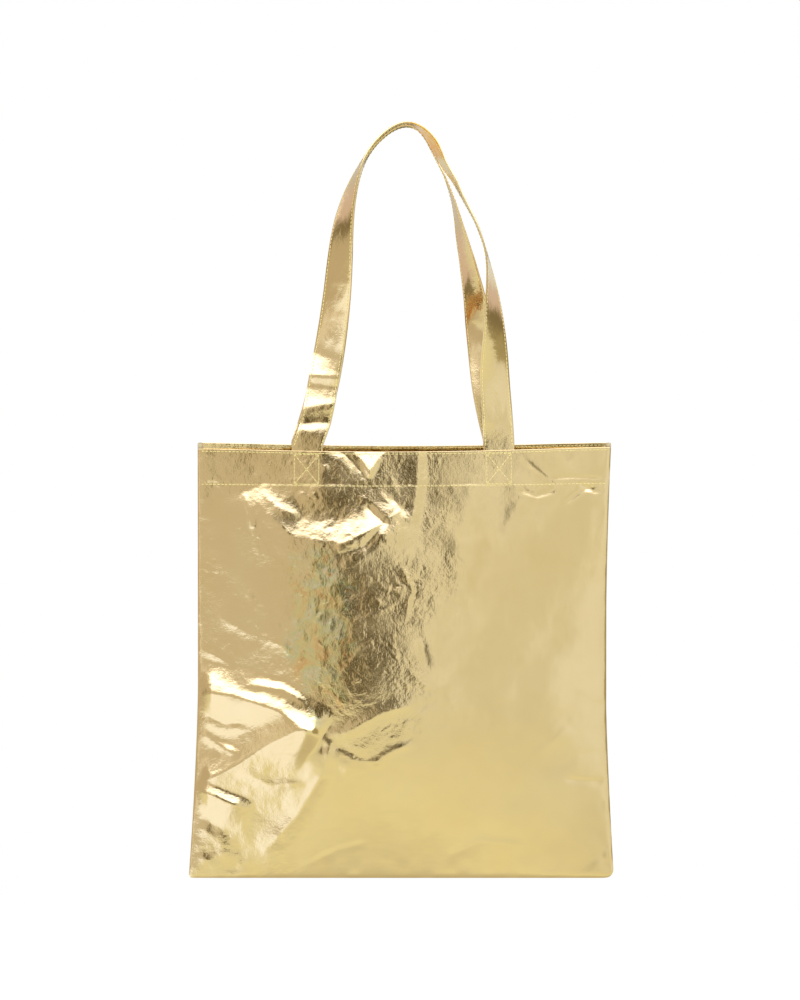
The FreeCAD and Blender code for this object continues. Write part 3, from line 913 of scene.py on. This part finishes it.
class Nodes:
    """A short way to write the nodes of a material or the world."""

    def __init__(self, owner, place="Object"):
        owner.use_nodes = True
        self.owner, self.tree = owner, owner.node_tree
        self.shader = next((n for n in self.tree.nodes if n.type == "BSDF_PRINCIPLED"), None)
        self.place = self.tree.nodes.new("ShaderNodeTexCoord").outputs[place]

    def add(self, kind, inputs=None, **settings):
        node = self.tree.nodes.new(kind)
        for key, value in settings.items():
            setattr(node, key, value)
        for key, value in (inputs or {}).items():
            self.set(node, key, value)
        return node

    def set(self, node, key, value):
        socket = node.inputs[key]
        if isinstance(value, bpy.types.NodeSocket):
            self.tree.links.new(value, socket)
        else:
            socket.default_value = value

    def xyz(self):
        return self.add("ShaderNodeSeparateXYZ", {"Vector": self.place}).outputs

    def noise(self, scale, detail=2.0, rough=0.5, distortion=0.0):
        inputs = {"Scale": scale, "Detail": detail, "Roughness": rough, "Distortion": distortion}
        return self.add("ShaderNodeTexNoise", {"Vector": self.place, **inputs}).outputs["Fac"]

    def cells(self, scale, jitter):
        inputs = {"Vector": self.place, "Scale": scale, "Randomness": jitter}
        return self.add("ShaderNodeTexVoronoi", inputs).outputs["Distance"]

    def math(self, operation, a, b=0.0):
        return self.add("ShaderNodeMath", {0: a, 1: b}, operation=operation).outputs[0]

    def times(self, a, b):
        return self.math("MULTIPLY", a, b)

    def plus(self, a, b):
        return self.math("ADD", a, b)

    def ramp(self, value, low, high, to_low=0.0, to_high=1.0):
        inputs = {"Value": value, 1: low, 2: high, 3: to_low, 4: to_high}
        return self.add("ShaderNodeMapRange", inputs, interpolation_type="SMOOTHSTEP").outputs[0]

    def mix(self, share, a, b):
        return self.add("ShaderNodeMix", {0: share, 6: a, 7: b}, data_type="RGBA").outputs[2]

    def colours(self, value, stops):
        node = self.add("ShaderNodeValToRGB", {"Fac": value})
        elements = node.color_ramp.elements
        elements.remove(elements[1])
        elements[0].position = stops[0][0]
        elements[0].color = (*stops[0][1], 1)
        for where, colour in stops[1:]:
            elements.new(where).color = (*colour, 1)
        return node.outputs["Color"]

    def bump(self, height, distance, strength, under=None):
        node = self.add("ShaderNodeBump", {"Height": height, "Distance": distance, "Strength": strength})
        if under is not None:
            self.set(node, "Normal", under)
        return node.outputs["Normal"]

    def ridges(self, scale, under, distance, strength):
        """A bump of thin raised veins."""
        inputs = {"Vector": self.place, "Scale": scale, "Detail": 5.0, "Distortion": 0.4}
        veins = self.add("ShaderNodeTexNoise", inputs, noise_type="RIDGED_MULTIFRACTAL")
        return self.bump(veins.outputs["Fac"], distance, strength, under)

    def finish(self, inputs):
        for key, value in inputs.items():
            self.set(self.shader, key, value)
        return self.owner


GOLD = (0.95, 0.73, 0.36, 1)
GOLD_DEEP = (0.93, 0.70, 0.325, 1)
# Colours of the painted iridescent glints: fixed rainbow specks in place of the film's shimmer, which changes
# with the light
PAINTED_GLINT_COLOURS = [
    (0.36, (0.95, 0.52, 0.15)),
    (0.43, (0.95, 0.72, 0.25)),
    (0.50, (0.84, 0.80, 0.32)),
    (0.56, (0.70, 0.78, 0.42)),
    (0.62, (0.84, 0.87, 0.58)),
    (0.68, (0.90, 0.62, 0.22)),
]
# Painted reflection: the orange of the two gold straps reflected in each other, right of the handle's top
PAINTED_REFLECTION_ORANGE = [(0.3, (0.96, 0.34, 0.02)), (0.7, (0.97, 0.56, 0.07))]


def lively_area(m):
    """How crumpled the film is, from 0 to 1, most round the middle and the left; and how finely it is
    cracked, in an upright strip just left of the middle."""
    x, _, z = m.xyz()
    wobble = m.ramp(m.noise(16, 2), 0.3, 0.7, -0.03, 0.03)
    corner = m.ramp(x, -0.07, -0.12)
    x, z = m.plus(x, wobble), m.plus(z, wobble)
    across, up = m.ramp(x, 0.045, -0.01, 0.16, 1.0), m.ramp(z, 0.10, 0.16, 0.12, 1.0)
    cracked = m.times(m.times(m.ramp(x, -0.115, -0.07), m.ramp(x, 0.035, 0.0)), m.ramp(z, 0.10, 0.15))
    return m.times(across, m.math("MAXIMUM", up, corner)), cracked


def painted_sheen(m, colour, amount, centre, size, rainbow):
    """Painted sheen: a faint rainbow of painted glints on the thin film, or a painted orange reflection,
    in fine specks round one place on the front.
    """
    rainbow = m.colours(m.noise(46, 3, 0.6, 0.6), rainbow)
    scale, shift = (1 / size[0], 0, 1 / size[1]), (-centre[0] / size[0], 0, -centre[1] / size[1])
    scaled = m.add("ShaderNodeMapping", {"Vector": m.place, "Location": shift, "Scale": scale}).outputs[0]
    far = m.add("ShaderNodeVectorMath", {0: scaled}, operation="LENGTH").outputs["Value"]
    patch = m.ramp(m.plus(far, m.ramp(m.noise(40, 3), 0.3, 0.7, -0.25, 0.25)), 0.65, 1.1, 1.0, 0.0)
    speckle = m.ramp(m.noise(190, 4, 0.8), 0.30, 0.60, 0.25, 1.0)
    in_front = m.math("LESS_THAN", m.xyz()[1], 0.0)
    # The painted sheen's share of the base colour, only on the front
    share = m.times(m.times(patch, in_front), speckle)
    return m.mix(m.times(share, amount), colour, rainbow)


def gold_film(name, even, sheen, centre, size, rainbow):
    """Gold metal film on non-woven cloth: the bonding dots and fibres show through as a fine grain."""
    m = Nodes(bpy.data.materials.new(name))
    colour = m.mix(m.ramp(m.noise(9, 3, 0.55), 0.35, 0.68), GOLD, GOLD_DEEP)
    # Painted sheen mixed into the base colour: painted iridescent glints on the walls, a painted orange
    # reflection on the straps
    colour = painted_sheen(m, colour, sheen, centre, size, rainbow)
    lively, cracked = (0.5, 0.3) if even else lively_area(m)
    dots = m.bump(m.cells(620, 0.5), 0.00005, 0.30)
    grain = m.plus(m.plus(m.times(cracked, 0.05), m.times(lively, 0.65)), 0.22)
    fine = m.bump(m.noise(300, 3, 0.6), 0.00022, grain, dots)
    cracks = m.ridges(115, fine, 0.0004, m.plus(m.times(cracked, 0.30), m.times(lively, 0.45)))
    creases = m.ridges(40, cracks, 0.0009, m.plus(m.times(lively, 0.45), 0.09))
    roughness = m.ramp(m.noise(60, 3, 0.6), 0.3, 0.7, 0.11, 0.18)
    return m.finish({"Base Color": colour, "Metallic": 1.0, "Roughness": roughness, "Normal": creases})


def non_woven(name):
    """The cloth's bare side: matt bonded fibres with rows of pressed dots."""
    m = Nodes(bpy.data.materials.new(name))
    fibres = m.noise(900, 5, 0.7)
    colour = m.mix(m.ramp(m.noise(30, 3), 0.3, 0.7), (0.50, 0.39, 0.17, 1), (0.58, 0.46, 0.22, 1))
    colour = m.mix(m.ramp(fibres, 0.3, 0.75, 0.0, 0.45), colour, (0.68, 0.56, 0.31, 1))
    dots = m.ramp(m.cells(600, 0.05), 0.18, 0.40)
    grain = m.bump(fibres, 0.0001, 0.7, m.bump(dots, 0.00012, 0.8))
    fuzz = {"Sheen Weight": 0.25, "Sheen Roughness": 0.5}
    return m.finish({"Base Color": colour, "Roughness": 0.82, "Normal": grain, **fuzz})


def sewing_thread(name):
    """Golden polyester thread with its plies twisted."""
    m = Nodes(bpy.data.materials.new(name))
    inputs = {"Vector": m.place, "Scale": 900, "Distortion": 2.0, "Detail": 2.0}
    twist = m.add("ShaderNodeTexWave", inputs, bands_direction="DIAGONAL").outputs["Fac"]
    colour = m.mix(m.ramp(twist, 0.2, 0.8), (0.74, 0.58, 0.14, 1), (0.88, 0.74, 0.26, 1))
    grain = m.bump(m.noise(2600, 2, 0.6), 0.00006, 0.5, m.bump(twist, 0.00012, 0.8))
    fuzz = {"Sheen Weight": 0.3, "Sheen Roughness": 0.4}
    return m.finish({"Base Color": colour, "Roughness": 0.45, "Normal": grain, **fuzz})


# ------ studio


def make_camera():
    """In front, a little above the middle, far enough back for a flat view."""
    distance, elevation = 4000.0, radians(1.7)
    view_height = 899.0
    target = np.array([-2.5, 0.0, 340.6])
    place = target + distance * np.array([0, -cos(elevation), sin(elevation)])
    data = bpy.data.cameras.new("camera")
    data.sensor_width = 36.0
    data.lens = data.sensor_width * distance / view_height
    data.clip_end = 100
    camera = bpy.data.objects.new("camera", data)
    camera.location = place * MM
    camera.rotation_euler = Vector(target - place).to_track_quat("-Z", "Y").to_euler()
    bpy.context.scene.collection.objects.link(camera)
    bpy.context.scene.camera = camera


# What stands round the bag, by the angle in degrees from straight ahead of the front wall (right positive).
# Both ahead and behind, a dim card stands at the left, a bright one at the right and a dark gap between them.
# Dark flags and faintly pink walls stand at the sides, and a narrow strip light at the front left
DIM_CARD, BRIGHT_CARD = (0.60, 0.575, 0.56), (0.75, 0.78, 0.82)
GAP, FLAG, PINK_WALL = (0.075, 0.062, 0.035), (0.22, 0.19, 0.13), (0.66, 0.575, 0.65)
STRIP_LIGHT = (0.82, 0.82, 0.90)
CARDS = [
    (-176.4, GAP),
    (-174, DIM_CARD),
    (-150, DIM_CARD),
    (-138, PINK_WALL),
    (-111, PINK_WALL),
    (-103, FLAG),
    (-94, FLAG),
    (-88, (0.54, 0.50, 0.46)),
    (-50, (0.54, 0.50, 0.46)),
    (-47, STRIP_LIGHT),
    (-43, STRIP_LIGHT),
    (-40, DIM_CARD),
    (-11, DIM_CARD),
    (-7.4, (0.40, 0.37, 0.31)),
    (-4.8, GAP),
    (3.0, GAP),
    (4.6, (0.84, 0.88, 0.96)),
    (10, (0.79, 0.82, 0.87)),
    (14, (0.69, 0.705, 0.69)),
    (19, (0.71, 0.73, 0.73)),
    (25, (0.82, 0.87, 0.96)),
    (50, BRIGHT_CARD),
    (58, (0.40, 0.37, 0.26)),
    (84, (0.36, 0.33, 0.22)),
    (98, FLAG),
    (110, FLAG),
    (120, PINK_WALL),
    (138, PINK_WALL),
    (150, BRIGHT_CARD),
    (169, BRIGHT_CARD),
    (172, GAP),
]
# The floor's glow by the angle below the horizon, and the bright part of it at the left
FLOOR = [
    (0, (0.75, 0.77, 0.74)),
    (12, (0.75, 0.77, 0.72)),
    (20, (0.79, 0.81, 0.72)),
    (28, (0.84, 0.86, 0.72)),
    (36, (0.70, 0.70, 0.62)),
    (50, (0.60, 0.59, 0.52)),
    (90, (0.50, 0.49, 0.44)),
]
LEFT_FLOOR_GLOW = (1.05, 1.15, 1.5, 1)
CEILING_LIGHT = (2.3, 2.45, 3.2, 1)
CEILING = (1.1, 1.1, 1.05, 1)


def make_world():
    """White to the camera, and a plain studio in the bag's reflections."""
    world = bpy.data.worlds.new("studio")
    bpy.context.scene.world = world
    world.use_nodes = True
    world.node_tree.nodes.clear()
    m = Nodes(world, "Generated")

    def within(angle, low, high):
        return m.ramp(angle, radians(low), radians(high))

    x, y, z = m.xyz()
    azimuth = m.math("ARCTAN2", x, m.times(y, -1.0))
    share = m.plus(m.math("DIVIDE", azimuth, 2 * pi), 0.5)
    room = m.colours(share, [(angle / 360 + 0.5, colour) for angle, colour in CARDS])
    height = m.math("ARCSINE", z)
    depth = m.math("DIVIDE", height, -pi / 2)
    floor = m.colours(depth, [(angle / 90, colour) for angle, colour in FLOOR])
    left = m.times(m.times(within(azimuth, -10, -22), within(azimuth, -70, -50)), within(height, -50, -38))
    floor = m.mix(left, floor, LEFT_FLOOR_GLOW)
    room = m.mix(within(height, -7, -11), room, floor)
    room = m.mix(within(height, 13.5, 27), room, CEILING_LIGHT)
    room = m.mix(within(height, 48, 62), room, CEILING)
    reflected = m.add("ShaderNodeBackground", {"Color": room}).outputs[0]
    seen = m.add("ShaderNodeBackground", {"Color": (1, 1, 1, 1)}).outputs[0]
    by_camera = m.add("ShaderNodeLightPath").outputs["Is Camera Ray"]
    mix = m.add("ShaderNodeMixShader", {0: by_camera, 1: reflected, 2: seen}).outputs[0]
    m.add("ShaderNodeOutputWorld", {"Surface": mix})


def make_floor():
    """A plain pale floor below the hanging bag, which fades into the white room."""
    radius, drop = 2.6, 0.32
    bpy.ops.mesh.primitive_circle_add(vertices=96, radius=radius, fill_type="NGON", location=(0, 0, -drop))
    floor = bpy.context.object
    floor.name = "floor"
    m = Nodes(bpy.data.materials.new("pale_floor"))
    far = m.add("ShaderNodeVectorMath", {0: m.place}, operation="LENGTH").outputs["Value"]
    clear = m.add("ShaderNodeBsdfTransparent").outputs[0]
    fade = m.add("ShaderNodeMixShader", {0: m.ramp(far, 0.9, 2.5), 1: m.shader.outputs[0], 2: clear})
    m.set(m.tree.nodes["Material Output"], "Surface", fade.outputs[0])
    glow = {"Emission Color": (1, 1, 1, 1), "Emission Strength": 0.3}
    m.finish({"Base Color": (0.86, 0.86, 0.86, 1), "Roughness": 0.9, **glow})
    floor.data.materials.append(m.owner)
    floor.visible_glossy = False


# ------ assembly

bpy.context.scene.view_settings.view_transform = "Standard"
make_camera()
make_world()
make_floor()

# Painted iridescent glints: a patch of rainbow specks on the front wall, left of the middle at mid height
wall_painted_glints = {"sheen": 0.58, "centre": (-0.073, 0.228), "size": (0.034, 0.082), "rainbow": PAINTED_GLINT_COLOURS}
# Painted reflection: an orange patch on the front strap right of its top, where the gold straps reflect each
# other
strap_painted_reflection = {"sheen": 1.0, "centre": (0.02, 0.665), "size": (0.026, 0.026), "rainbow": PAINTED_REFLECTION_ORANGE}
cloth = gold_film("gold_laminated_cloth", even=False, **wall_painted_glints)
strap_cloth = gold_film("gold_laminated_strap", even=True, **strap_painted_reflection)
lining = non_woven("bare_non_woven")
thread = sewing_thread("golden_thread")

allowances = build_seams(lining, thread)
for name, relief, lean in (("front", front_relief(), 0.30), ("back", back_relief(), -0.15)):
    wall = Wall(name, relief, lean)
    build_strap_stitches(build_strap(wall, strap_cloth), thread)
    build_wall(wall, cloth, lining)
    build_hem_stitches(wall, thread)
    build_cross_stitches(wall, thread)
